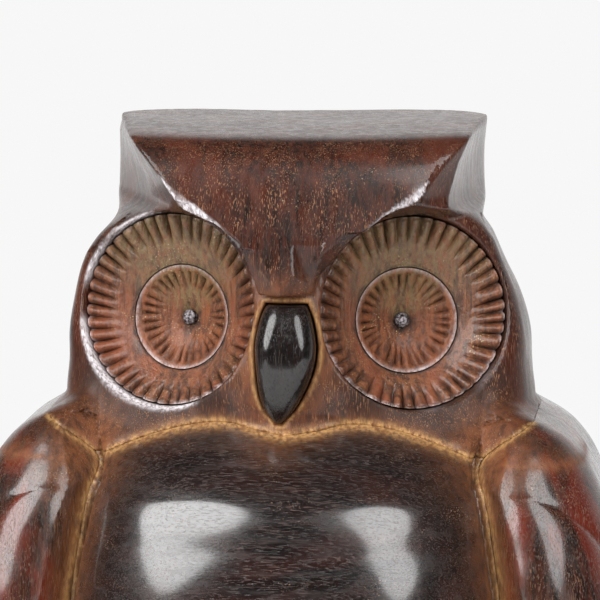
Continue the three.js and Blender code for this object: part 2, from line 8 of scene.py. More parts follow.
import bpy
import numpy as np
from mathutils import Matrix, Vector

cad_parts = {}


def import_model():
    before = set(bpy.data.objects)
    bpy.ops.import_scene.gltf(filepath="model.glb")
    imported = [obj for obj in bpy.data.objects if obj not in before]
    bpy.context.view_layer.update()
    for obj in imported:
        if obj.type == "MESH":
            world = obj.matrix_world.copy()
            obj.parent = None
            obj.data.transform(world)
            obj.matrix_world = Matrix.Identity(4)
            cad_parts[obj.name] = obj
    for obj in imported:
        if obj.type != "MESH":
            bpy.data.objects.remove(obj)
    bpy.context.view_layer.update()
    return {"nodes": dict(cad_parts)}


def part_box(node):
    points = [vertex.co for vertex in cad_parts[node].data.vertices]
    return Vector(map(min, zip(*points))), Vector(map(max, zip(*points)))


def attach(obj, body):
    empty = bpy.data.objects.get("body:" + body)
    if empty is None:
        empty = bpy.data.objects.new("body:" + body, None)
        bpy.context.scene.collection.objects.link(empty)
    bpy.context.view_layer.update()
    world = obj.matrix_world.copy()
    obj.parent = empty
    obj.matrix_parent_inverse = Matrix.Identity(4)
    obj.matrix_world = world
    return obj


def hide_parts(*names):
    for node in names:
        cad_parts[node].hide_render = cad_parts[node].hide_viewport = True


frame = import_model()

# ---- Driving dimensions, in millimetres ----------------------------------------------------------
# The outline is the CAD model's, a little slimmer at the horns. Crown, facets and toes have more shape.
HEIGHT = 165
BASE_Z = 0
NECK_Z = 115
LEAN = 0.21
BROW_TOP_Y = -26.5
BROW_FOOT_Z = 137.2
BROW_BOW = 0.0015
BROW_TILT = 0.045  # the V's left arm is cut lower than its right one, by this much per millimetre across
BROW_SIDE_SLOPE = 0.7
BROW_BACK_Y = -6
TWIST = math.radians(4.5)  # crown and brow are carved turned a little towards +X
TWIST_LOW_Z, TWIST_HIGH_Z = 139, 149  # the heights between which the turn comes in
CROWN_SAG = 0.5
CROWN_HALF_WIDTH = 33
CROWN_FALL = 0.0011  # how fast the crown bends down in front of CROWN_LEVEL_Y
CROWN_LEVEL_Y = 5
CROWN_ROLL = 9  # how far the brow's face rolls over into the crown
HORN_FOOT_Z = 152.5
BREAST_SEAT_Y = -24
BREAST_FOOT_Z = 15
FRONT_SEAM_Y = -38
BACK_SEAM_Y = 36
SHOULDER_TOP_Z = 117.5
LOBE_WIDTH = 6.2  # from the wing seam to the wing lobe's crest
LOBE_START = 0.745  # share of the breast's depth at which a wing's lobe leaves it
LOBE_RISE = 0.7  # how steeply the lobe rises there
SEAM_GROOVE = 2.2  # depths of the creases
NECK_GROOVE_FRONT = 1.6
NECK_GROOVE_BACK = 1.0
EASED = 0.35  # rounding of the edges where pieces meet
GLUE_GAP = 0.3
WING_FOOT_Z = 8
WING_TOP_Z = 121

EYE_X, EYE_Y, EYE_Z = 21.9, -22, 133.4
EYE_OUT, EYE_UP = math.radians(20), math.radians(8)
EYE_RADIUS = 16.6
RIM_DROP = 1.2
RING_DEPTH = 5
IRIS_RADIUS = 9.3
IRIS_SINK = 1.3
IRIS_DEPTH = 3.7
SOCKET_DEPTH = 13.4
RING_FLUTES = 44
IRIS_FLUTES = 30

BEAK_SEAT_Y, BEAK_ROOT = -29, 9
TOE_RADIUS, TOE_REACH, TOE_SPREAD = 4.6, 14, 6.8
MIDDLE_TOE_EXTRA = 3
FOOT_X, FOOT_SEAT_Y = 15, -29

TRUNK = np.array([  # height, half width, breast depth, back depth, wing depth
    [0, 41, 34, 30, 26],
    [4, 44.5, 37.5, 33, 29],
    [20, 51.5, 42.5, 37, 33.5],
    [45, 57, 47, 39, 37.8],
    [70, 58.8, 48.6, 39, 39.6],
    [85, 58.2, 48.3, 38, 39.8],
    [95, 56.6, 46.8, 36.5, 38.2],
    [102.5, 54.4, 44.2, 34, 36],
    [108.7, 51, 37.6, 31.5, 32.2],
    [113, 46.8, 31, 29.5, 28.4],
    [118, 37, 24, 25, 21],
])
HEAD = np.array([  # height, half width, front depth, back depth, where the widest part is
    [104, 41, 27, 27, 0],
    [116.8, 41.9, 28.6, 28.5, 0],
    [123, 41.3, 29.6, 29, -1],
    [128.3, 40.8, 29.6, 28.6, -3],
    [135.5, 39.2, 28.8, 27.4, -7],
    [140.5, 37.4, 28, 27.4, -11],
    [144.8, 35.2, 27.6, 27.4, -14],
    [148.3, 32.7, 28.5, 27.6, -12],
    [151.5, 33.3, 31, 27.8, -6],
    [158.7, 33.5, 31, 28, -4],
    [165, 34.1, 30, 28, -2],
])
SEAM = np.array([  # height, half width at the front, half width at the back
    [-10, 24, 9],
    [8, 28, 11],
    [28, 34.5, 15.5],
    [48, 38.4, 21.5],
    [68, 39.4, 27],
    [83.2, 38, 30],
    [95.3, 36, 32.5],
    [102.3, 34.4, 34.4],
    [107.5, 32.6, 36.4],
    [111.5, 37, 38.5],
    [115, 42.4, 42.4],
    [117, 45, 45],
    [121, 51, 51],
])
NECKLINE = np.array([[0, 112.7], [5.5, 113.5], [10.7, 114.5], [18, 113.7], [25, 111.7], [32.4, 108.7]])
BROW = np.array([  # height, half width
    [BROW_FOOT_Z, 4.6],
    [139.6, 5.2],
    [146.3, 9.5],
    [150, 14.4],
    [152.4, 19.8],
    [158, 23.4],
    [HEIGHT, 29],
])
# The horns' sides as seen from above: where they leave the brow, a bend, and where they end at the back
TEMPLE_LEFT = np.array([  # height, then x and y of each
    [149, 19, -29, 23.5, -19, 32, 2],
    [152.4, 19.8, -28.6, 23.5, -19, 33, 6],
    [158, 23.4, -27.6, 26.4, -18, 33.4, 8],
    [HEIGHT, 29, -25.6, 30, -17, 33.6, 10],
])
TEMPLE_RIGHT = np.array([
    [149, 19, -29, 25.4, -24.5, 31.6, -2],
    [152.4, 19.8, -28.6, 25.6, -23.5, 32.2, 4],
    [158, 23.4, -27.6, 27.2, -22.5, 32.5, 8],
    [HEIGHT, 29, -25.6, 30.4, -20, 33.1, 10],
])
BEAK = np.array([  # height, half width, how far the front stands out from the seat
    [114.8, 0.4, 0.6],
    [116.2, 1.8, 1.4],
    [117.6, 2.8, 2.0],
    [119.6, 3.7, 2.7],
    [122.2, 4.5, 3.4],
    [124.8, 5.0, 3.8],
    [128.1, 5.25, 3.8],
    [130.8, 4.9, 3.3],
    [133.3, 4.3, 2.3],
    [135.3, 3.5, 0.8],
])
BEAK_SWAY = 1.3  # the tip is carved this far towards -X
BEAD_OFFSET = 0.75  # from the beak's outline to the middle of the bead round it
TOE = np.array([  # distance forward along the middle toe, radius
    [0, TOE_RADIUS],
    [5, TOE_RADIUS + 0.1],
    [8.5, 4.1],
    [11, 4.3],
    [14, 3.1],
    [16, 1.9],
    [17, 1.1],
])
# Knife facets on the brow: x and height of a point on the facet's upper edge, how it cuts across and down,
# its tilt, and the heights it keeps between
FACETS = [
    (26.3, 160.2, 0.606, 0.796, math.radians(40), 146.5, 170),
    (-22, 156.1, -0.62, 0.784, math.radians(40), 146, 170),
    (6.5, 146.5, 0.77, 0.64, math.radians(44), 130, 148),
    (-5.2, 143.5, -0.78, 0.62, math.radians(36), 130, 145),
]
NOTCH_TOP_Z, NOTCH_X, NOTCH_WIDTH = 146.4, -0.6, 5.2

# The frame moves the carving so that its middle is over the origin: a wing dowel's middle tells by how much.
WING_DOWEL_Y = -4
dowel_low, dowel_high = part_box("wing_dowel_left_upper")
SHIFT_Y = (dowel_low.y + dowel_high.y) * 500 - WING_DOWEL_Y


# ---- Fields --------------------------------------------------------------------------------------
def along(stations, at, column=1):
    """Smooth value of one column of a station table, by cubic pieces."""
    xs, ys = stations[:, 0], stations[:, column]
    slopes = np.empty(len(ys))
    slopes[1:-1] = (ys[2:] - ys[:-2]) / (xs[2:] - xs[:-2])
    slopes[0] = (ys[1] - ys[0]) / (xs[1] - xs[0])
    slopes[-1] = (ys[-1] - ys[-2]) / (xs[-1] - xs[-2])
    t = np.clip(at, xs[0], xs[-1])
    i = np.clip(np.searchsorted(xs, t) - 1, 0, len(xs) - 2)
    span = xs[i + 1] - xs[i]
    u = (t - xs[i]) / span
    return (
        (2 * u**3 - 3 * u**2 + 1) * ys[i]
        + (u**3 - 2 * u**2 + u) * span * slopes[i]
        + (3 * u**2 - 2 * u**3) * ys[i + 1]
        + (u**3 - u**2) * span * slopes[i + 1]
    )


def straight(stations, at, column=1):
    """Value of one column of a station table, by straight pieces."""
    return np.interp(at, stations[:, 0], stations[:, column])


def smooth_max(a, b, k):
    """The greater of two fields, rounded over where they are within k of each other."""
    h = np.maximum(k - np.abs(a - b), 0) / k
    return np.maximum(a, b) + h * h * k / 4


def smooth_min(a, b, k):
    return -smooth_max(-a, -b, k)


def ease(value, low, high):
    """0 below low, 1 above high, smooth between. Low may be above high."""
    t = np.clip((value - low) / (high - low), 0, 1)
    return t * t * (3 - 2 * t)


def seam(y, z):
    """Half width of the wing seam at a depth and height."""
    share = np.clip((y - FRONT_SEAM_Y) / (BACK_SEAM_Y - FRONT_SEAM_Y), 0, 1)
    return along(SEAM, z, 1) * (1 - share) + along(SEAM, z, 2) * share


def superellipse(x, y, half_width, half_depth, power):
    """Distance-like field of a rounded-square outline seen from above."""
    r = (np.abs(x) / half_width) ** power + (np.abs(y) / half_depth) ** power
    return (r ** (1 / power) - 1) * np.minimum(half_width, half_depth)


def shell(stations, x, y, z, front_power, back_power):
    """Signed field of the head's round form: fuller at the front or the back than a plain ellipse."""
    width = along(stations, z, 1)
    widest = along(stations, z, 4)
    y = y - widest
    front = superellipse(x, np.minimum(y, 0), width, along(stations, z, 2) + widest, front_power)
    back = superellipse(x, np.maximum(y, 0), width, along(stations, z, 3) - widest, back_power)
    return np.where(y < 0, front, back)


def trunk_field(x, y, z):
    """The breast's broad dome with a rounder lobe for each wing, and one round back."""
    width = along(TRUNK, z, 1)
    line = along(SEAM, np.minimum(z, 104), 1)
    dome = superellipse(x, np.minimum(y, 0), line * 1.4, along(TRUNK, z, 2), 2.2)
    crest = np.minimum(line + LOBE_WIDTH, width - 3)
    radius = width - crest
    lobe_y = np.minimum(y + along(TRUNK, z, 4) - radius, 0)
    lobe = np.hypot(np.abs(x) - crest, lobe_y) - radius
    lobe = np.where((np.abs(x) < crest) & (lobe_y >= 0), np.abs(x) - width, lobe)
    # The lobe starts near the dome's surface and rises away from the seam.
    start_y = -LOBE_START * along(TRUNK, z, 2)
    lobe = np.maximum(lobe, (line - np.abs(x) - y + start_y) * LOBE_RISE)
    front = np.minimum(np.maximum(dome, np.abs(x) - line), lobe)
    back = superellipse(x, np.maximum(y, 0), width, along(TRUNK, z, 3), 2.3)
    return np.where(y < 0, front, back)


def turned(x, y, z):
    """The crown's own directions: the carving turns a little above the eyes."""
    turn = TWIST * ease(z, TWIST_LOW_Z, TWIST_HIGH_Z)
    return x * np.cos(turn) + y * np.sin(turn), y * np.cos(turn) - x * np.sin(turn)


def eye_axes(side):
    """Right, up and outward directions of an eye."""
    flat = math.cos(EYE_UP)
    normal = Vector((side * math.sin(EYE_OUT) * flat, -math.cos(EYE_OUT) * flat, math.sin(EYE_UP)))
    right = Vector((0, 0, 1)).cross(normal).normalized()
    return right, normal.cross(right), normal


def eye_local(x, y, z, side):
    """Position in an eye's own axes: across, up and outward."""
    dx, dy, dz = x - side * EYE_X, y - EYE_Y, z - EYE_Z
    return tuple(dx * a.x + dy * a.y + dz * a.z for a in eye_axes(side))


def temple_station(x, z, column):
    """One column of the horn's side table, left or right by the sign of x."""
    level = z - BROW_TILT * x
    left = straight(TEMPLE_LEFT, level, column)
    right = straight(TEMPLE_RIGHT, level, column)
    return np.where(x < 0, left, right)


def temple_flat(x, y, z):
    """The flats from the brow's edge back along the side of the horn, fading out above the eye."""
    stations = [temple_station(x, z, column) for column in range(1, 7)]
    flat = -np.inf
    for x0, y0, x1, y1 in (stations[0:4], stations[2:6]):
        plane = ((np.abs(x) - x0) * (y1 - y0) - (y - y0) * (x1 - x0)) / np.hypot(x1 - x0, y1 - y0)
        flat = np.maximum(flat, plane)
    return flat - 0.3 * np.maximum(0, HORN_FOOT_Z - z) ** 2


def brow_face(x, y, z):
    """The brow's front: it leans forward with height and bows back towards its sides."""
    return BROW_TOP_Y + BROW_BOW * x**2 - LEAN * (HEIGHT - z) - y


def crown_height(x, y):
    """The crown's top: a shallow hollow across it, and a slight fall towards the front."""
    hollow = CROWN_SAG * (1 - (x / CROWN_HALF_WIDTH) ** 2)
    return HEIGHT - hollow - CROWN_FALL * np.minimum(y - CROWN_LEVEL_Y, 0) ** 2


def rounded_front(x, y, z):
    """The brow's face, rolling over into the crown."""
    return smooth_max(brow_face(x, y, z), z - crown_height(x, y), CROWN_ROLL)


def brow_width(x, z):
    """Half width of the V, its left arm cut a little lower than its right."""
    return straight(BROW, z - BROW_TILT * x)


def brow_field(x, y, z):
    """The V-shaped brow, its corners taken off by knife facets."""
    face = brow_face(x, y, z)
    edge = (np.abs(x) - brow_width(x, z)) * BROW_SIDE_SLOPE
    solid = smooth_max(np.maximum(rounded_front(x, y, z), edge), BROW_FOOT_Z - z, 0.4)
    solid = np.maximum(solid, y - BROW_BACK_Y)
    for fx, fz, out, down, tilt, low, high in FACETS:
        depth = (x - fx) * out + (fz - z) * down
        facet = depth * math.sin(tilt) + face * math.cos(tilt)
        facet = np.minimum(facet, np.minimum(high - z, z - low) * 0.9)
        solid = smooth_max(solid, facet, 0.25)
    top_cut = (NOTCH_TOP_Z - z) * 0.34 + face * 0.94
    side_cut = (x - NOTCH_X - 0.38 * (NOTCH_TOP_Z - z)) * 0.8 + face * 0.6
    notch = np.minimum(np.minimum(top_cut, side_cut), (NOTCH_X + NOTCH_WIDTH - x) * 0.8)
    return smooth_max(solid, notch, 0.2)


def groove_depth(x, y, z):
    """Creases along the wing seams and the neckline."""
    side = np.abs(x) - seam(y, z)
    away = np.sqrt(side**2 + 0.36) - 0.6
    wing = SEAM_GROOVE * np.exp(-away / np.where(side < 0, 4.5, 3.4)) * ease(z, 117, 107)
    front = y < -8
    line = np.where(front, along(NECKLINE, np.abs(x)), NECK_Z)
    at_front = NECK_GROOVE_FRONT * ease(np.abs(x), 35, 29)
    at_back = NECK_GROOVE_BACK * ease(y, -6, 6)
    depth = np.where(front, at_front, at_back)
    neck = depth * np.exp(-(np.sqrt((z - line) ** 2 + 0.16) - 0.4) / 2.2)
    return np.maximum(wing, neck)


def tool_waves(x, y, z):
    """The slight unevenness of hand work."""
    a = np.sin(x * 0.31 + 1.3 * np.sin(z * 0.17)) * np.sin(z * 0.27 + 0.9 * np.sin(y * 0.21))
    b = np.sin(y * 0.23 + z * 0.11) * np.sin(x * 0.19 - z * 0.13 + 2)
    return 0.09 * a + 0.12 * b


def plumage(x, y, z):
    """Shallow cuts on the wings and tail."""
    ax = np.abs(x)
    on_wing = ease(ax - seam(y, z), 3, 7)
    covert = y + 32 - (98 - z) * 0.5
    cut = 0.9 * np.exp(-np.abs(covert) / 1.1) * ease(z, 52, 66) * ease(z, 107, 99)
    for row, top in ((-7, 58), (6, 66), (18, 70)):
        line = y - row + (z - 40) * 0.06
        cut = np.maximum(cut, 0.8 * np.exp(-np.abs(line)) * ease(z, top, top - 14) * ease(z, 6, 14))
    cut = cut * on_wing
    tail = 0.8 * np.exp(-np.abs(ax - 5)) * ease(z, 62, 48) * (y > 0)
    return np.maximum(cut, np.where(ax < seam(y, z) - 3, tail, 0))


def head_field(x, y, z):
    """The head without the brow."""
    tx, ty = turned(x, y, z)
    # Above the eyes' middle the head is carved a little towards -X.
    shift = 0.45 * ease(z, TWIST_LOW_Z, TWIST_HIGH_Z) + 0.7 * np.exp(-(((z - 142) / 6) ** 2))
    form = shell(HEAD, tx + shift, ty, z, 3.3, 2.5 + 2 * ease(z, 138, 152))
    flats = np.where(x > 0, eye_local(x, y, z, 1)[2], eye_local(x, y, z, -1)[2])
    form = smooth_max(form, flats - 2.5 * np.maximum(0, z - 149.5), 3.5)
    form = smooth_max(form, rounded_front(tx, ty, z) + 0.15, 0.5)
    return smooth_max(form, temple_flat(tx, ty, z), 0.7 + 3 * ease(z, 152, 147))


def form_field(x, y, z):
    """The whole carving before it is divided into pieces, without the sockets."""
    trunk = smooth_max(trunk_field(x, y, z), z - SHOULDER_TOP_Z, 3)
    trunk = trunk + plumage(x, y, z)
    form = smooth_min(trunk, head_field(x, y, z), 3.2) + groove_depth(x, y, z) + tool_waves(x, y, z)
    form = form - beak_rim(x, y, z)
    tx, ty = turned(x, y, z)
    form = smooth_min(form, brow_field(tx, ty, z), 0.3)
    return smooth_max(smooth_max(form, z - crown_height(tx, ty), 1.0), BASE_Z - z, 0.8)


def beak_outline(x, z):
    """Distance from the beak's outline as seen from the front."""
    side = (np.abs(x + BEAK_SWAY * ease(z, 127, 114)) - along(BEAK, z)) * 0.93
    beyond = np.maximum(BEAK[0, 0] - z, z - BEAK[-1, 0])
    return np.where(beyond > 0, np.hypot(np.maximum(side, 0), beyond), side)


def beak_rim(x, y, z):
    """The thin bead left standing round the beak."""
    d = beak_outline(x, z)
    return np.where(y < -15, 0.3 * np.exp(-(((d - BEAD_OFFSET) / 0.4) ** 2)), 0)


def beak_socket(x, y, z):
    """The hole that the beak is let into."""
    return np.maximum(beak_outline(x, z) - 0.2, y + 14)


def beak_field(x, y, z):
    """A flat-fronted wedge with rounded edges, seated in its socket."""
    front = BEAK_SEAT_Y - along(BEAK, z, 2)
    width = along(BEAK, z)
    turn = np.minimum(width * 0.7, 3.2)
    across = np.abs(x + BEAK_SWAY * ease(z, 127, 114)) - width + turn
    ahead = (front - y) + turn
    corner = np.hypot(np.maximum(across, 0), np.maximum(ahead, 0)) - turn
    section = np.where((across > 0) & (ahead > 0), corner, np.maximum(across, ahead) - turn)
    body = np.maximum(section, y - BEAK_SEAT_Y - BEAK_ROOT)
    return smooth_max(body, np.maximum(BEAK[0, 0] - z, z - BEAK[-1, 0]), 0.5)


def rim_chamfer(u, v, side):
    """How wide the eye socket's edge is taken off: most at the lower outer side of the left eye."""
    angle = np.arctan2(v, u)
    if side > 0:
        return 0.08 + 0.06 * ease(np.cos(angle + math.radians(60)), 0.3, 1) + 0.03 * np.sin(9 * angle + 2)
    foot = 0.48 * ease(np.cos(angle + math.radians(118)), 0.35, 1)
    brow = 0.24 * ease(np.cos(angle - math.radians(132)), 0.6, 0.95)
    return 0.06 + foot + brow + 0.05 * np.sin(9 * angle + 2)


def eye_socket(x, y, z, side):
    u, v, w = eye_local(x, y, z, side)
    wall = np.hypot(u, v) - EYE_RADIUS - GLUE_GAP - rim_chamfer(u, v, side) * ease(w, -1.7, 0.2)
    return np.maximum(np.maximum(wall, -SOCKET_DEPTH - w), w - 14)


def wing_region(x, y, z, side):
    """Inside where a wing is."""
    return np.maximum(np.maximum(seam(y, z) - x * side, WING_FOOT_Z - z), z - WING_TOP_Z)


def breast_region(x, y, z):
    """Inside where the breast panel is, between its neckline, its foot and its seat."""
    line = along(NECKLINE, np.abs(x))
    foot = BREAST_FOOT_Z + 12 * (x / 36) ** 2 - z
    return np.maximum(np.maximum(z - line, foot), y - BREAST_SEAT_Y)


def foot_field(x, y, z, side):
    """Three toes that taper to a claw, flat underneath."""
    best = None
    for toe in (-1, 0, 1):
        reach = TOE_REACH + (MIDDLE_TOE_EXTRA if toe == 0 else 0)
        turn = toe * 0.2
        dx = x - side * FOOT_X - toe * TOE_SPREAD
        dy = y - FOOT_SEAT_Y - 4
        fx = dx * math.cos(turn) + dy * math.sin(turn)
        fy = dy * math.cos(turn) - dx * math.sin(turn)
        t = np.clip(-fy, 0, reach)
        radius = along(TOE, t * TOE[-1, 0] / reach)
        dz = (z - TOE_RADIUS * 0.55) / 1.22
        d = np.sqrt(fx**2 + (fy + t) ** 2 + dz**2) - radius
        best = d if best is None else smooth_min(best, d, 0.5)
    return np.maximum(np.maximum(best, BASE_Z - z), y - FOOT_SEAT_Y)


def block_field(x, y, z):
    """The block: the whole form without its breast, wings, eyes and beak."""
    form = form_field(x, y, z)
    form = smooth_max(form, -breast_region(x, y, z), EASED)
    for side in (-1, 1):
        form = smooth_max(form, -wing_region(x, y, z, side), EASED)
        form = smooth_max(form, -eye_socket(x, y, z, side), 0.45)
    return smooth_max(form, -beak_socket(x, y, z), 0.3)


def wing_field(side):
    return lambda x, y, z: smooth_max(form_field(x, y, z), wing_region(x, y, z, side), EASED)


def breast_field(x, y, z):
    form = smooth_max(form_field(x, y, z), breast_region(x, y, z), EASED)
    return smooth_max(form, np.abs(x) - seam(y, z), EASED)


# ---- Meshes from fields: dual contouring ---------------------------------------------------------
def sample(field, xs, ys, zs):
    """The field's values on a grid, a few layers at a time to keep memory small."""
    parts = [
        field(xs[:, None, None], ys[None, :, None], zs[None, None, k : k + 12])
        for k in range(0, len(zs), 12)
    ]
    shape = (len(xs), len(ys))
    return np.concatenate([np.broadcast_to(p, shape + p.shape[2:]) for p in parts], axis=2)


def crossings(field, axes, values, axis):
    """Grid edges along one axis that cross the surface: where, at what point, and whether wood is below."""
    low = [slice(None)] * 3
    high = [slice(None)] * 3
    low[axis], high[axis] = slice(None, -1), slice(1, None)
    a, b = values[tuple(low)], values[tuple(high)]
    where = np.argwhere((a < 0) != (b < 0))
    va, vb = a[tuple(where.T)], b[tuple(where.T)]
    start = np.stack([axes[k][where[:, k]] for k in range(3)], axis=1)
    step = axes[axis][where[:, axis] + 1] - axes[axis][where[:, axis]]
    t0, t1 = np.zeros(len(where)), np.ones(len(where))
    points = start.copy()
    for _ in range(3):
        t = t0 + (t1 - t0) * np.clip(va / (va - vb), 0.05, 0.95)
        points[:, axis] = start[:, axis] + step * t
        v = field(points[:, 0], points[:, 1], points[:, 2])
        same = (v < 0) == (va < 0)
        t0, va = np.where(same, t, t0), np.where(same, v, va)
        t1, vb = np.where(same, t1, t), np.where(same, vb, v)
    points[:, axis] = start[:, axis] + step * (t0 + (t1 - t0) * np.clip(va / (va - vb), 0, 1))
    return where, points, a[tuple(where.T)] < 0


def gradient(field, points, reach=0.03):
    """Unit vectors pointing out of the wood."""
    x, y, z = points.T
    g = np.stack(
        [
            field(x + reach, y, z) - field(x - reach, y, z),
            field(x, y + reach, z) - field(x, y - reach, z),
            field(x, y, z + reach) - field(x, y, z - reach),
        ],
        axis=1,
    )
    return g / np.maximum(np.linalg.norm(g, axis=1, keepdims=True), 1e-9)


def contour(field, xs, ys, zs):
    """Dual contouring. Returns points, quads and normals."""
    axes = (xs, ys, zs)
    values = sample(field, xs, ys, zs)
    cells_shape = tuple(len(a) - 1 for a in axes)
    cell_ids, all_points, all_normals, quads = [], [], [], []
    for axis in range(3):
        where, points, solid_below = crossings(field, axes, values, axis)
        normals = gradient(field, points)
        p, q = (axis + 1) % 3, (axis + 2) % 3
        round_edge = []
        for dp, dq in ((-1, -1), (0, -1), (0, 0), (-1, 0)):
            cell = where.copy()
            cell[:, p] += dp
            cell[:, q] += dq
            round_edge.append(np.ravel_multi_index(tuple(cell.T), cells_shape))
        for ids in round_edge:
            cell_ids.append(ids)
            all_points.append(points)
            all_normals.append(normals)
        loop = np.stack(round_edge, axis=1)
        loop[~solid_below] = loop[~solid_below][:, ::-1]
        quads.append(loop)
    ids = np.concatenate(cell_ids)
    points, normals = np.concatenate(all_points), np.concatenate(all_normals)
    cells, inverse = np.unique(ids, return_inverse=True)
    count = len(cells)

    def total(weights):
        return np.bincount(inverse, weights=weights, minlength=count)

    number = total(np.ones(len(ids)))
    middle = np.stack([total(points[:, k]) for k in range(3)], axis=1) / number[:, None]
    offset = points - middle[inverse]
    reach = np.einsum("ij,ij->i", normals, offset)
    matrix = np.empty((count, 3, 3))
    for i in range(3):
        for j in range(i, 3):
            matrix[:, i, j] = matrix[:, j, i] = total(normals[:, i] * normals[:, j])
    matrix += np.eye(3) * 0.06 * number[:, None, None]
    right = np.stack([total(normals[:, k] * reach) for k in range(3)], axis=1)
    move = np.linalg.solve(matrix, right[:, :, None])[:, :, 0]
    grid = np.stack(np.unravel_index(cells, cells_shape), axis=1)
    low = np.stack([axes[k][grid[:, k]] for k in range(3)], axis=1)
    high = np.stack([axes[k][grid[:, k] + 1] for k in range(3)], axis=1)
    vertices = np.clip(middle + move, low, high)
    normal = np.stack([total(normals[:, k]) for k in range(3)], axis=1)
    normal /= np.maximum(np.linalg.norm(normal, axis=1, keepdims=True), 1e-9)
    return vertices, np.searchsorted(cells, np.concatenate(quads)), normal


def steps(*stretches):
    """Grid lines: each stretch is (from, to, spacing), end to end."""
    lines = []
    for start, stop, spacing in stretches:
        count = max(1, round((stop - start) / spacing))
        lines.append(np.linspace(start, stop, count + 1)[:-1])
    lines.append(np.array([stretches[-1][1]]))
    return np.concatenate(lines)


# ---- Objects -------------------------------------------------------------------------------------
def to_frame(points):
    """Metres in the row frame from millimetres in the carving's own frame."""
    return (np.asarray(points) + (0, SHIFT_Y, 0)) / 1000


def mesh_object(name, points, faces, material, normals=None, masks=None):
    """A mesh in the row frame from millimetre points in the carving's own frame."""
    mesh = bpy.data.meshes.new(name)
    mesh.from_pydata(to_frame(points).tolist(), [], np.asarray(faces).tolist())
    for mask, weights in (masks or {}).items():
        layer = mesh.attributes.new(mask, "FLOAT", "POINT")
        layer.data.foreach_set("value", np.asarray(weights, np.float32))
    mesh.polygons.foreach_set("use_smooth", [True] * len(mesh.polygons))
    if normals is not None:
        mesh.normals_split_custom_set_from_vertices(normals.tolist())
    mesh.materials.append(material)
    piece = bpy.data.objects.new(name, mesh)
    bpy.context.scene.collection.objects.link(piece)
    return piece


def stand_for(piece, node):
    """Put a visible piece in the place of a CAD node."""
    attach(piece, "root")
    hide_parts(node)


# ---- Node materials ------------------------------------------------------------------------------
class Shader:
    """Short calls for building a node material."""

    def __init__(self, name):
        self.material = bpy.data.materials.new(name)
        self.material.use_nodes = True
        self.tree = self.material.node_tree
        self.surface = self.tree.nodes["Principled BSDF"]

    def node(self, kind, **settings):
        made = self.tree.nodes.new(kind)
        for key, value in settings.items():
            setattr(made, key, value)
        return made

    def put(self, socket, value):
        if isinstance(value, bpy.types.NodeSocket):
            self.tree.links.new(value, socket)
        elif value is not None:
            socket.default_value = value

    def millimetres(self, spacing):
        """Surface position divided by a spacing in millimetres along each axis."""
        coordinates = self.node("ShaderNodeTexCoord").outputs["Object"]
        mapping = self.node("ShaderNodeMapping")
        self.put(mapping.inputs["Vector"], coordinates)
        mapping.inputs["Scale"].default_value = [1000 / s for s in spacing]
        return mapping.outputs["Vector"]

    def noise(self, spacing, detail=3.0, roughness=0.5, distortion=0.0):
        made = self.node("ShaderNodeTexNoise")
        self.put(made.inputs["Vector"], self.millimetres(spacing))
        made.inputs["Scale"].default_value = 1
        made.inputs["Detail"].default_value = detail
        made.inputs["Roughness"].default_value = roughness
        made.inputs["Distortion"].default_value = distortion
        return made.outputs["Fac"]

    def ramp(self, value, low, high, start=0.0, end=1.0):
        made = self.node("ShaderNodeMapRange", interpolation_type="SMOOTHSTEP")
        self.put(made.inputs["Value"], value)
        for key, number in (("From Min", low), ("From Max", high), ("To Min", start), ("To Max", end)):
            made.inputs[key].default_value = number
        return made.outputs["Result"]

    def math(self, operation, a, b=None):
        made = self.node("ShaderNodeMath", operation=operation)
        self.put(made.inputs[0], a)
        self.put(made.inputs[1], b)
        return made.outputs[0]

    def mix(self, share, a, b):
        made = self.node("ShaderNodeMix", data_type="RGBA")
        self.put(made.inputs["Factor"], share)
        self.put(made.inputs[6], a if isinstance(a, bpy.types.NodeSocket) else (*a, 1))
        self.put(made.inputs[7], b if isinstance(b, bpy.types.NodeSocket) else (*b, 1))
        return made.outputs[2]

    def mask(self, name):
        return self.node("ShaderNodeAttribute", attribute_name=name).outputs["Fac"]

    def bump(self, height, depth_mm, strength=1.0, under=None):
        made = self.node("ShaderNodeBump")
        made.inputs["Distance"].default_value = depth_mm / 1000
        made.inputs["Strength"].default_value = strength
        self.put(made.inputs["Height"], height)
        self.put(made.inputs["Normal"], under)
        return made.outputs["Normal"]


def along_grain(grain, across, length):
    """Spacing of a texture stretched along the grain: 'x' or 'z'."""
    return (length, across, across) if grain == "x" else (across, across, length)


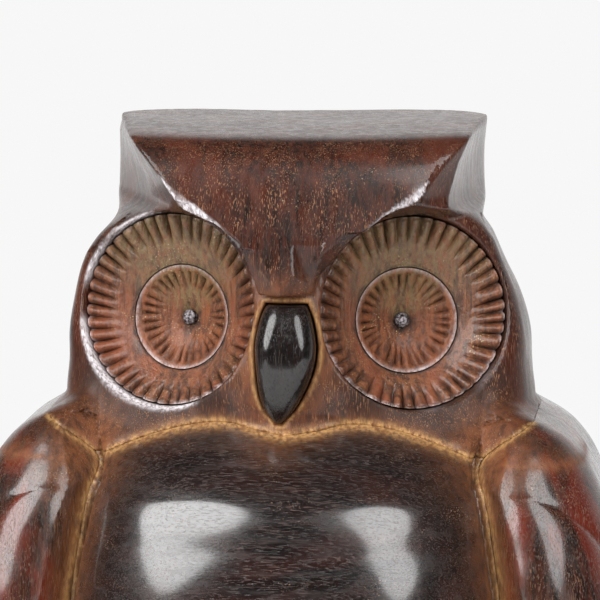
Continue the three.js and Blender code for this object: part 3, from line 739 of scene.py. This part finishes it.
def wood(
    name, dark, mid, warm, pore,
    grain="z", gloss=0.3, coat=0.5, pores=0.6, shine=0.5, rough_cut=0.0, sanding=0.6,
    hollow=None, gold=None, wear_and_highlight=None, fleck=(0.3, 0.2, 0.13), specks=0.6,
):
    """Lacquered hardwood: grain streaks, pores as short dashes, colour gathered in the hollows, painted shade
    and painted highlight.

    dark, mid and warm are the wood's own colours, and pore is the wax in its pores. The colours for the
    hollows, the golden parts and the pale edges go where the masks of the same names mark, and fleck colours
    the old specks of wax. The hollow colour is patina on the block, breast and wings, and painted shade in
    the eyes' flutes and round their holes. On the eyes the golden colour is a painted highlight on the upper
    side. The pale edge colour is painted highlight, on the block partly wear. Under the eyes the wood is
    darkened as painted shade.
    """
    s = Shader(name)
    streaks = s.noise(along_grain(grain, 0.9, 16), 5, 0.6, 0.4)
    broad = s.noise(along_grain(grain, 7, 30), 3, 0.55, 0.6)
    colour = s.mix(s.ramp(streaks, 0.38, 0.62), dark, mid)
    colour = s.mix(s.math("MULTIPLY", s.ramp(broad, 0.45, 0.68), 0.7), colour, warm)
    dashes = s.ramp(s.noise(along_grain(grain, 0.17, 1.9), 1.0, 0.4), 0.56, 0.68)
    density = s.ramp(s.noise(along_grain(grain, 4, 9), 3), 0.38, 0.62, 0.2, 1.0)
    pore_share = s.math("MULTIPLY", s.math("MULTIPLY", dashes, density), pores)
    if hollow:
        blotches = s.ramp(s.noise((1.1, 1.1, 3.5), 4, 0.6), 0.3, 0.62, 0.35, 1.0)
        # Painted shade: under the eyes the colour is darkened towards dark.
        colour = s.mix(s.math("MULTIPLY", s.mask("dull_and_shade"), 0.9), colour, dark)
        # Patina in the hollows; on the eyes, painted shade in the flutes and round the hole.
        share = s.math("MINIMUM", s.math("MULTIPLY", s.mask("hollow"), blotches), 1.0)
        colour = s.mix(share, colour, hollow)
    # Golden colour on the marked lines; on the eyes, a painted highlight on the upper side.
    if gold:
        bloom = s.ramp(s.noise((0.8, 0.8, 2.0), 4, 0.65), 0.38, 0.62, 0.2, 1.0)
        colour = s.mix(s.math("MULTIPLY", s.mask("gold"), bloom), colour, gold)
    colour = s.mix(pore_share, colour, pore)
    dust = s.ramp(s.noise((0.25, 0.25, 0.25), 1, 0.3), 0.66, 0.72)
    cloud = s.ramp(s.noise((9, 9, 6), 3, 0.6), 0.5, 0.7)
    colour = s.mix(s.math("MULTIPLY", s.math("MULTIPLY", dust, cloud), specks), colour, fleck)
    # Pale edges: painted highlight, on the block partly wear.
    if wear_and_highlight:
        mottle = s.ramp(s.noise((0.5, 0.5, 1.2), 4, 0.65), 0.35, 0.6, 0.25, 1.0)
        colour = s.mix(s.math("MULTIPLY", s.mask("wear_and_highlight"), mottle), colour, wear_and_highlight)
    s.put(s.surface.inputs["Base Color"], colour)
    rough = s.ramp(s.noise(along_grain(grain, 1.5, 8), 4, 0.6), 0.3, 0.7, gloss - 0.07, gloss + 0.12)
    rough = s.math("ADD", rough, s.math("MULTIPLY", dashes, 0.15))
    if hollow:
        matt = s.math("MAXIMUM", s.mask("hollow"), s.mask("dull_and_shade"))
        rough = s.math("ADD", rough, s.math("MULTIPLY", matt, 0.25))
    s.put(s.surface.inputs["Roughness"], rough)
    under = s.bump(s.noise((0.7, 0.7, 0.9), 4, 0.6), 0.35, rough_cut) if rough_cut else None
    fine = s.bump(s.noise(along_grain(grain, 0.35, 6), 3, 0.6), 0.05, sanding, under)
    s.put(s.surface.inputs["Normal"], s.bump(s.math("MULTIPLY", dashes, -1.0), 0.09, 0.8, fine))
    s.surface.inputs["Specular IOR Level"].default_value = shine
    if hollow:
        lacquer = s.math("MAXIMUM", s.ramp(matt, 0.1, 0.8, coat, coat * 0.15), s.mask("sheen"))
        s.put(s.surface.inputs["Coat Weight"], lacquer)
    else:
        s.surface.inputs["Coat Weight"].default_value = coat
    s.surface.inputs["Coat Roughness"].default_value = 0.12
    return s.material


def steel(name):
    """A stained, pitted nail head."""
    s = Shader(name)
    stain = s.noise((0.5, 0.5, 0.5), 4, 0.6)
    colour = s.mix(s.ramp(stain, 0.35, 0.65), (0.012, 0.009, 0.01), (0.3, 0.27, 0.28))
    s.put(s.surface.inputs["Base Color"], colour)
    s.put(s.surface.inputs["Roughness"], s.ramp(stain, 0.3, 0.7, 0.35, 0.65))
    s.put(s.surface.inputs["Normal"], s.bump(s.noise((0.3, 0.3, 0.3), 3), 0.15, 0.9))
    s.surface.inputs["Metallic"].default_value = 1
    return s.material


PATINA = (0.16, 0.055, 0.018)
# Golden colour for the bead round the beak, the wing seams and the neckline.
LINE_GOLD = (0.36, 0.2, 0.075)
EYE_FLECK = (0.42, 0.32, 0.17)

# The block's pale edge colour is painted highlight on the eye sockets' edges and the brow facets, partly
# wear.
BLOCK_WOOD = wood(
    "wood_block",
    (0.01, 0.0045, 0.0035), (0.035, 0.0105, 0.006), (0.062, 0.015, 0.0075), (0.25, 0.115, 0.055),
    gloss=0.3, coat=0.3, shine=0.22, sanding=0.14,
    hollow=(0.17, 0.055, 0.018), gold=LINE_GOLD, wear_and_highlight=(0.62, 0.58, 0.6),
)
BREAST_WOOD = wood(
    "wood_breast",
    (0.004, 0.0027, 0.0027), (0.011, 0.0062, 0.0055), (0.022, 0.008, 0.006), (0.075, 0.036, 0.025),
    grain="x", gloss=0.19, coat=1.0, pores=0.45, shine=0.4, hollow=PATINA, gold=LINE_GOLD,
)
WING_WOOD = wood(
    "wood_wing",
    (0.009, 0.005, 0.004), (0.03, 0.01, 0.006), (0.11, 0.014, 0.006), (0.22, 0.11, 0.055),
    gloss=0.2, coat=0.5, pores=0.35, shine=0.35, hollow=PATINA, gold=LINE_GOLD,
)
# On the eye rings the hollow colour is painted shade, the golden colour a painted highlight on the upper
# side, and the pale edge colour a painted highlight along the lower outer edge.
EYE_WOOD = wood(
    "wood_eye",
    (0.05, 0.017, 0.008), (0.15, 0.05, 0.019), (0.18, 0.045, 0.017), (0.28, 0.15, 0.075),
    gloss=0.36, coat=0.25, pores=0.3, shine=0.4, rough_cut=0.9,
    hollow=(0.012, 0.006, 0.0045), gold=(0.15, 0.105, 0.045), wear_and_highlight=(0.5, 0.42, 0.42),
    fleck=EYE_FLECK, specks=1.0,
)
# The irises carry the same painted shade and painted highlights.
IRIS_WOOD = wood(
    "wood_iris",
    (0.06, 0.019, 0.008), (0.16, 0.048, 0.016), (0.18, 0.055, 0.022), (0.28, 0.15, 0.075),
    gloss=0.46, coat=0.12, pores=0.25, shine=0.3, rough_cut=0.9,
    hollow=(0.014, 0.007, 0.005), gold=(0.15, 0.1, 0.042), wear_and_highlight=(0.45, 0.38, 0.38),
    fleck=EYE_FLECK, specks=0.9,
)
BEAK_WOOD = wood(
    "wood_beak",
    (0.004, 0.003, 0.003), (0.008, 0.005, 0.0045), (0.015, 0.006, 0.005), (0.05, 0.03, 0.022),
    gloss=0.14, coat=0.55, pores=0.2, shine=0.3, specks=0.15,
)
FOOT_WOOD = wood(
    "wood_foot",
    (0.008, 0.005, 0.004), (0.028, 0.01, 0.007), (0.045, 0.014, 0.008), (0.16, 0.08, 0.045),
    gloss=0.25, pores=0.4,
)
DOWEL_WOOD = wood(
    "dowel_wood",
    (0.36, 0.2, 0.1), (0.5, 0.32, 0.17), (0.55, 0.36, 0.2), (0.3, 0.16, 0.08),
    grain="x", gloss=0.6, coat=0.0, pores=0.4,
)
PIN_STEEL = steel("pin_steel")


# ---- The carved pieces ---------------------------------------------------------------------------
def patina_mask(x, y, z):
    """Where colour gathers: the creases, along the neckline, round the beak and at the breast's corners."""
    crease = np.clip(groove_depth(x, y, z) / SEAM_GROOVE, 0, 1) ** 2.2
    above = z - along(NECKLINE, np.abs(x))
    neck = np.where(above > 0, np.exp(-above / 1.7) * 0.75, np.exp(above / 0.9))
    neck = neck * (y < -8) * ease(z, 104, 108)
    from_beak = np.maximum(beak_outline(x, z), 0)
    cheek = np.where(y < -15, np.exp(-((from_beak / 4.5) ** 2)), 0) * 0.7 * ease(z, 146, 138)
    corner = np.exp(-(((np.abs(x) - 35) / 7) ** 2) - ((z - 110) / 7) ** 2) * (y < 0) * 0.85
    return np.maximum(np.maximum(crease, neck), np.maximum(cheek, corner))


def golden_mask(x, y, z):
    """Thin golden lines: the bead round the beak, the wing seams and the neckline."""
    off_bead = beak_outline(x, z) - BEAD_OFFSET
    bead = np.where(y < -15, np.exp(-((off_bead / 0.35) ** 2)), 0) * ease(z, 146, 138) * 0.9
    off_seam = np.abs(x) - seam(y, z)
    seams = np.where(z < NECK_Z, np.exp(-((off_seam / 0.8) ** 2)), 0) * (y < 0)
    off_neck = z - along(NECKLINE, np.abs(x))
    neck = np.exp(-((off_neck / 0.8) ** 2)) * (y < -8) * ease(np.abs(x), 35, 31)
    return np.maximum(bead, np.maximum(seams, neck))


def dull_and_shade_mask(x, y, z):
    """A patch with little lacquer under each eye, its colour darkened there as painted shade."""
    ax = np.abs(x)
    return ease(z, 109, 113) * ease(z, 127, 119) * ease(ax, 8, 13) * ease(ax, 43, 34) * (y < -8)


def wear_and_highlight_mask(x, y, z):
    """Painted highlight, partly wear: pale edges on the eye sockets where they are taken off widest,
    and on the knife facets on the V's arms.
    """
    wear_and_highlight = np.zeros(len(x))
    for side in (-1, 1):
        u, v, w = eye_local(x, y, z, side)
        cut = rim_chamfer(u, v, side)
        off_edge = np.hypot(u, v) - EYE_RADIUS - GLUE_GAP - cut / 2
        edge = np.exp(-((off_edge / (0.3 + 0.4 * cut)) ** 2)) * ease(w, -3, -1.4) * ease(w, 1.4, 0.5)
        wear_and_highlight = np.maximum(wear_and_highlight, edge * ease(cut, 0.12, 0.36))
    tx, ty = turned(x, y, z)
    face = brow_face(tx, ty, z)
    on_brow = (np.abs(tx) < brow_width(tx, z) + 0.4) & (y < -15)
    for fx, fz, out, down, _, low, _ in FACETS[:2]:
        depth = (tx - fx) * out + (fz - z) * down
        facet = ease(depth, 0, 0.5) * ease(face, -0.05, -0.3) * ease(z, low + 1.5, low + 4)
        wear_and_highlight = np.maximum(wear_and_highlight, np.where(on_brow, facet, 0))
    return wear_and_highlight


def sheen_mask(x, y, z):
    """The smooth sides of the horns, which keep their lacquer."""
    tx, _ = turned(x, y, z)
    off_brow = np.abs(tx) - brow_width(tx, z)
    return 0.55 * ease(z, 146, 150) * ease(off_brow, 0.1, 0.5) * ease(HEIGHT - z, 0.7, 2)


# The pale edges are painted highlight, partly wear, and the patch under the eyes is darkened as painted
# shade.
MASKS = {
    "hollow": patina_mask,
    "gold": golden_mask,
    "wear_and_highlight": wear_and_highlight_mask,
    "dull_and_shade": dull_and_shade_mask,
    "sheen": sheen_mask,
}


def carving_masks(points):
    """The share of each mask at each point, 0 to 1."""
    return {name: np.clip(mask(*points.T), 0, 1) for name, mask in MASKS.items()}


def carve(name, field, axes, material, node):
    """A piece of the carving, with its masks for patina, wear, painted highlight and painted shade."""
    points, faces, normals = contour(field, *axes)
    stand_for(mesh_object(name, points, faces, material, normals, carving_masks(points)), node)


FINE = 0.5
COARSE = 1.1

carve(
    "owl_block", block_field,
    (
        steps((-60.3, -46.1, COARSE), (-46.1, 46.1, FINE * 1.1), (46.1, 60.3, COARSE)),
        steps((-52.2, -36, COARSE), (-36, -8, FINE), (-8, 41, COARSE)),
        steps((-1.3, 104.4, 1.6), (104.4, 117.4, FINE * 0.7), (117.4, 166.7, FINE)),
    ),
    BLOCK_WOOD, "body_block",
)
carve(
    "owl_breast", breast_field,
    (
        steps((-41.2, 41.2, FINE)),
        steps((-51.3, -22.7, FINE * 1.2)),
        steps((13.2, 95.3, FINE * 1.6), (95.3, 116.3, FINE * 0.7)),
    ),
    BREAST_WOOD, "breast_panel",
)
for side_name, side in (("left", -1), ("right", 1)):
    reach = steps((10.2, 60.6, FINE * 1.4))
    carve(
        f"owl_wing_{side_name}", wing_field(side),
        (
            np.sort(side * reach),
            steps((-50.3, -20, FINE * 1.3), (-20, 41.3, FINE * 1.6)),
            steps((6.2, 90.1, FINE * 1.8), (90.1, 123.3, FINE)),
        ),
        WING_WOOD, f"wing_{side_name}",
    )


# ---- Eyes ----------------------------------------------------------------------------------------
def ring_noise(angle, seed):
    """Slow, repeatable unevenness round a ring, about -1 to 1."""
    rng = np.random.default_rng(seed)
    total = 0
    for wave in range(1, 12):
        total = total + rng.normal() * np.cos(wave * angle + rng.uniform(0, 6.28)) / 2.2
    return np.clip(total * 0.6, -1, 1)


def fluted_dish(name, side, spec, material, node):
    """A turned dish with gouged petals, in the eye's own axes. spec gives its sizes in millimetres."""
    seed, flutes = spec["seed"], spec["flutes"]
    outer, hole = spec["outer"], spec["hole"]
    columns = flutes * 12
    angle = np.linspace(0, 2 * np.pi, columns, endpoint=False)
    share = np.linspace(0, 1, DISH_ROWS)[:, None]  # 0 at the rim, 1 at the hole

    phase = (angle * flutes / (2 * np.pi) + 0.22 * ring_noise(angle, seed)) % 1
    groove = 1 - np.abs(np.sin(np.pi * phase)) ** 0.6
    strength = 1 + 0.28 * ring_noise(angle, seed + 1)
    inward = ease(share, spec["flute_end"] + 0.06 * ring_noise(angle, seed + 2), spec["flute_full"])
    outward = ease(share, spec["flute_start"], spec["flute_start"] + 0.04)
    cut = spec["flute_depth"] * strength * inward * outward * groove
    tip = spec["tip"] * (1 - ease(share, 0, 0.1)) * (0.35 + 0.65 * np.abs(np.sin(np.pi * phase)) ** 2)
    bowl = spec["rim_z"] + (spec["hole_z"] - spec["rim_z"]) * (share + spec["bow"] * share * (1 - share))
    height = bowl - cut - tip + 0.05 * np.sin(5 * angle + 9 * share) * np.sin(3 * angle - 4 * share)

    def ring(radius, sunk, level):
        """Points right round: the rings sit lower towards the hole."""
        across = radius * np.cos(angle)
        up = radius * np.sin(angle) - spec["sink"] * sunk - spec["drop"]
        return np.stack(np.broadcast_arrays(across, up, level), axis=-1).reshape(-1, 3)

    face = ring(outer + (hole - outer) * share, share, height)
    back_z = GLUE_GAP - SOCKET_DEPTH
    points = np.concatenate([face, ring(hole, 1, back_z), ring(outer, 0, back_z)])
    index = np.arange(columns)
    after = (index + 1) % columns
    rings = DISH_ROWS + 2
    faces = []
    for row in range(rings):
        here, there = row * columns, (row + 1) % rings * columns
        faces.append(np.stack([there + index, there + after, here + after, here + index], axis=1))

    # Painted shade in the flutes' grooves and in a band round the hole.
    groove_shade = groove**1.5 * inward * outward * np.clip(strength, 0.3, 1.2)
    hole_shade = spec["hole_shade"] * ease(share + 0.03 * ring_noise(2 * angle, seed + 7), *spec["hole_shade_reach"])
    # Painted highlight: the upper side of the dish is coloured golden.
    upper = 0.75 * ease(np.sin(angle), 0.2, 0.95) * np.ones_like(share)
    # Painted highlight: a pale band along the outer edge, all round but strongest on the lower side.
    lower_highlight = ease(-np.sin(angle), -0.5, 0.8) * (0.5 + 0.5 * ring_noise(3 * angle, seed + 5))
    edge = spec["wear_and_highlight"] * ease(share, spec["highlight_width"], 0) * np.maximum(lower_highlight, spec["highlight_above"])
    masks = {}
    for mask, weights in (("hollow", np.maximum(groove_shade, hole_shade)), ("gold", upper), ("wear_and_highlight", edge)):
        masks[mask] = np.concatenate([np.clip(weights, 0, 1).reshape(-1), np.zeros(2 * columns)])

    placed = points @ np.array(eye_axes(side)) + (side * EYE_X, EYE_Y, EYE_Z)
    piece = mesh_object(name, placed, np.concatenate(faces), material, None, masks)
    piece.data.set_sharp_from_angle(angle=math.radians(55))
    stand_for(piece, node)


DISH_ROWS = 44
# Some entries set the painted shade round the hole and the painted highlight along the outer edge.
RING = {
    "outer": EYE_RADIUS, "hole": IRIS_RADIUS + 0.06, "sink": IRIS_SINK, "drop": 0,
    "rim_z": -RIM_DROP, "hole_z": -RIM_DROP - RING_DEPTH, "bow": 0.12,
    "flutes": RING_FLUTES, "flute_start": -0.1, "flute_full": 0.12, "flute_end": 0.74, "flute_depth": 1.9,
    "tip": 0.7, "hole_shade": 0.85, "hole_shade_reach": (0.92, 0.985),
    "wear_and_highlight": 0.9, "highlight_width": 0.12, "highlight_above": 0.05, "seed": 11,
}
IRIS = {
    "outer": IRIS_RADIUS - 0.16, "hole": 1.15, "sink": 0, "drop": IRIS_SINK,
    "rim_z": -RIM_DROP - RING_DEPTH, "hole_z": -RIM_DROP - RING_DEPTH - IRIS_DEPTH, "bow": 0.2,
    "flutes": IRIS_FLUTES, "flute_start": 0.12, "flute_full": 0.2, "flute_end": 0.6, "flute_depth": 0.95,
    "tip": 0.12, "hole_shade": 0.95, "hole_shade_reach": (0.74, 0.93),
    "wear_and_highlight": 1.0, "highlight_width": 0.09, "highlight_above": 0.5, "seed": 31,
}
for side_name, side in (("left", -1), ("right", 1)):
    ring_spec = dict(RING, seed=RING["seed"] + side)
    iris_spec = dict(IRIS, seed=IRIS["seed"] + side)
    fluted_dish(f"owl_eye_ring_{side_name}", side, ring_spec, EYE_WOOD, f"eye_ring_{side_name}")
    fluted_dish(f"owl_iris_{side_name}", side, iris_spec, IRIS_WOOD, f"iris_{side_name}")


# ---- Beak and feet -------------------------------------------------------------------------------
def small_piece(name, field, axes, material, node):
    """A piece without masks."""
    points, faces, normals = contour(field, *axes)
    stand_for(mesh_object(name, points, faces, material, normals), node)


small_piece(
    "owl_beak", beak_field,
    (
        steps((-5.6, 5.6, FINE * 0.56)),
        steps((-33.3, -27, FINE * 0.56), (-27, -19.2, COARSE)),
        steps((113.1, 135.3, FINE * 0.56)),
    ),
    BEAK_WOOD, "beak",
)
for side_name, side in (("left", -1), ("right", 1)):
    middle = side * FOOT_X
    small_piece(
        f"owl_foot_{side_name}", lambda x, y, z, side=side: foot_field(x, y, z, side),
        (
            steps((middle - 15.3, middle + 15.3, FINE)),
            steps((-52.3, -27.2, FINE)),
            steps((-1.1, 10.3, FINE)),
        ),
        FOOT_WOOD, f"foot_{side_name}",
    )

for node, cad in frame["nodes"].items():
    if "dowel" in node or "pin" in node:
        cad.data.materials.clear()
        cad.data.materials.append(PIN_STEEL if "pin" in node else DOWEL_WOOD)


# ---- Studio --------------------------------------------------------------------------------------
AZIMUTH, ELEVATION, DISTANCE = math.radians(6), math.radians(8), 0.6
AIM = Vector((-0.0006, SHIFT_Y / 1000, 0.1322))
FLOOR_HALF = 0.45


def direction(azimuth, elevation):
    """Unit vector away from the owl; azimuth 0 is in front of it, positive to its right in the picture."""
    level = math.cos(elevation)
    return Vector((math.sin(azimuth) * level, -math.cos(azimuth) * level, math.sin(elevation)))


def aim(thing, away, distance):
    """Stand a camera or lamp at a distance, looking at the owl."""
    bpy.context.scene.collection.objects.link(thing)
    thing.location = AIM + away * distance
    thing.rotation_euler = (-away).to_track_quat("-Z", "Y").to_euler()


def camera():
    data = bpy.data.cameras.new("photo_camera")
    data.lens = 200
    data.sensor_width = 36
    data.clip_start = 0.01
    view = bpy.data.objects.new("photo_camera", data)
    aim(view, direction(AZIMUTH, ELEVATION), DISTANCE)
    bpy.context.scene.camera = view


def softbox(name, azimuth, elevation, distance, size, power):
    """An oval lamp; its angles are in degrees and its distance and size in metres."""
    data = bpy.data.lights.new(name, "AREA")
    data.shape = "ELLIPSE"
    data.size, data.size_y = size
    data.energy = power
    lamp = bpy.data.objects.new(name, data)
    aim(lamp, direction(math.radians(azimuth), math.radians(elevation)), distance)


def floor():
    mesh = bpy.data.meshes.new("floor")
    corners = [(x * FLOOR_HALF, y * FLOOR_HALF, 0) for x, y in ((-1, -1), (1, -1), (1, 1), (-1, 1))]
    mesh.from_pydata(corners, [], [(0, 1, 2, 3)])
    s = Shader("floor")
    s.surface.inputs["Base Color"].default_value = (0.86, 0.86, 0.86, 1)
    s.surface.inputs["Roughness"].default_value = 0.8
    mesh.materials.append(s.material)
    ground = bpy.data.objects.new("floor", mesh)
    bpy.context.scene.collection.objects.link(ground)


def world():
    """Pale behind and beside the owl, dim in front of it, so that its gloss has something to show."""
    made = bpy.data.worlds.new("studio")
    bpy.context.scene.world = made
    made.use_nodes = True
    tree = made.node_tree
    nodes, links = tree.nodes, tree.links
    background = nodes["Background"]
    direction = nodes.new("ShaderNodeTexCoord").outputs["Generated"]
    forward = nodes.new("ShaderNodeVectorMath")
    forward.operation = "DOT_PRODUCT"
    links.new(direction, forward.inputs[0])
    forward.inputs[1].default_value = (0.25, 0.968, -0.7)
    ramp = nodes.new("ShaderNodeMapRange")
    ramp.interpolation_type = "SMOOTHSTEP"
    links.new(forward.outputs["Value"], ramp.inputs["Value"])
    for key, number in (("From Min", 0.05), ("From Max", 0.65), ("To Min", 0.03), ("To Max", 0.95)):
        ramp.inputs[key].default_value = number
    path = nodes.new("ShaderNodeLightPath")
    pick = nodes.new("ShaderNodeMix")
    links.new(path.outputs["Is Camera Ray"], pick.inputs["Factor"])
    links.new(ramp.outputs["Result"], pick.inputs["A"])
    pick.inputs["B"].default_value = 0.93
    background.inputs["Color"].default_value = (1, 1, 1, 1)
    links.new(pick.outputs["Result"], background.inputs["Strength"])


camera()
floor()
world()
softbox("softbox_left", -44, 31, 1.2, (0.95, 1.4), 30)
softbox("softbox_right", 32, 32, 1.2, (0.72, 1.4), 18)
bpy.context.scene.view_settings.view_transform = "Standard"
